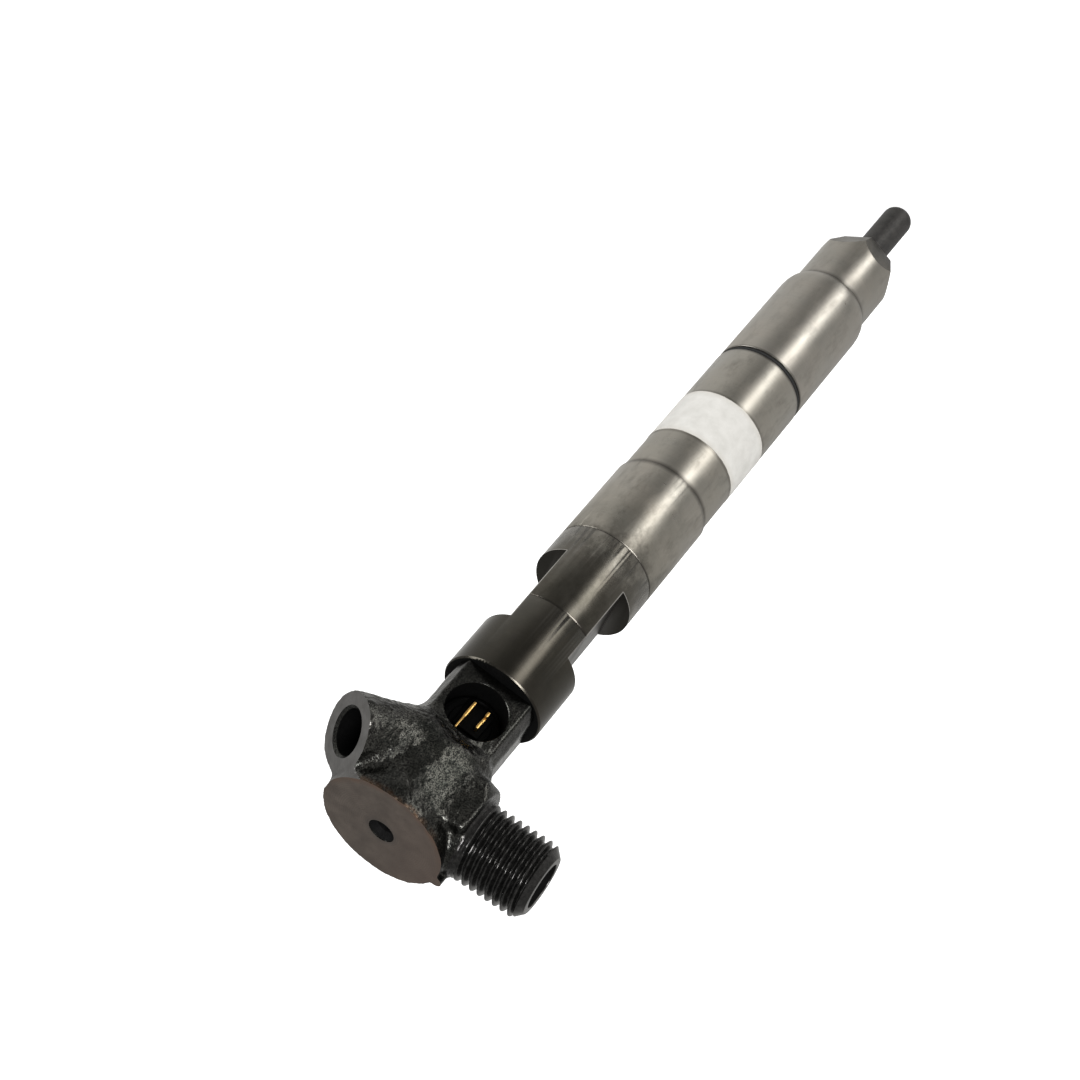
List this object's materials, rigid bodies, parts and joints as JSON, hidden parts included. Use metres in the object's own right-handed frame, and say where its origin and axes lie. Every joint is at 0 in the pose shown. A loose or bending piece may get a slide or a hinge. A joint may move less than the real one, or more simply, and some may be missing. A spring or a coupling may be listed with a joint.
{
  "type": "fuel injector",
  "caption": "Solenoid fuel injector with a forged head, threaded inlet, return boss, plug socket, clamp notches, smooth cap nut and nozzle.",
  "frame": {"origin": "centre of the cap nut's seat face, on the injector's axis", "axes": "+Z along the injector towards its head, the connector socket faces -Y, the threaded inlet points to -X"},
  "size_m": [0.0457, 0.0248, 0.187],
  "materials": {
    "holder_body": "forged black skin, turned satin below",
    "nozzle_cap_nut": "turned satin",
    "nut_seal_ring": "matt",
    "nozzle_body": "matt dark hardened steel",
    "nozzle_needle": "ground",
    "spring_steel": "drawn wire",
    "ground_steel": "ground",
    "magnetic_iron": "sintered",
    "copper_wire": "enamelled copper",
    "bobbin_plastic": "glass-filled plastic",
    "insert_plastic": "black moulding",
    "sleeve_plastic": "natural plastic",
    "seal_rubber": "matt",
    "gold_plated": "gold plated",
    "label_paper": "blank off-white"
  },
  "bodies": {
    "injector": {"holder_body": "holder_body", "nozzle_cap_nut": "nozzle_cap_nut", "nut_seal_ring": "nut_seal_ring", "nozzle_body": "nozzle_body", "needle_spring": "spring_steel", "needle_sleeve": "ground_steel", "orifice_plate": "ground_steel", "lower_dowels": "ground_steel", "valve_body": "ground_steel", "upper_dowels": "ground_steel", "valve_spring": "spring_steel", "valve_spring_shim": "ground_steel", "air_gap_ring": "ground_steel", "solenoid_core": "magnetic_iron", "coil_bobbin": "bobbin_plastic", "coil_winding": "copper_wire", "solenoid_disc_spring": "spring_steel", "connector_insert": "insert_plastic", "connector_seal": "seal_rubber", "inlet_filter": "ground_steel", "label": "label_paper", "conductor_left": "gold_plated", "conductor_right": "gold_plated", "conductor_sleeve_left": "sleeve_plastic", "conductor_sleeve_right": "sleeve_plastic", "terminal_left": "gold_plated", "terminal_right": "gold_plated"},
    "needle": {"nozzle_needle": "nozzle_needle"},
    "valve": {"valve_stem": "ground_steel", "armature": "magnetic_iron"}
  },
  "joints": [
    {"name": "needle_lift", "type": "slide", "parent": "injector", "child": "needle", "axis": [0, 0, 1], "range_m": [0, 0.00025], "stiffness_N_per_m": 30000, "springref_m": -0.001, "deforming": ["needle_spring"]},
    {"name": "valve_lift", "type": "slide", "parent": "injector", "child": "valve", "axis": [0, 0, 1], "range_m": [0, 0.00005], "stiffness_N_per_m": 25000, "springref_m": -0.001, "deforming": ["valve_spring"]}
  ]
}
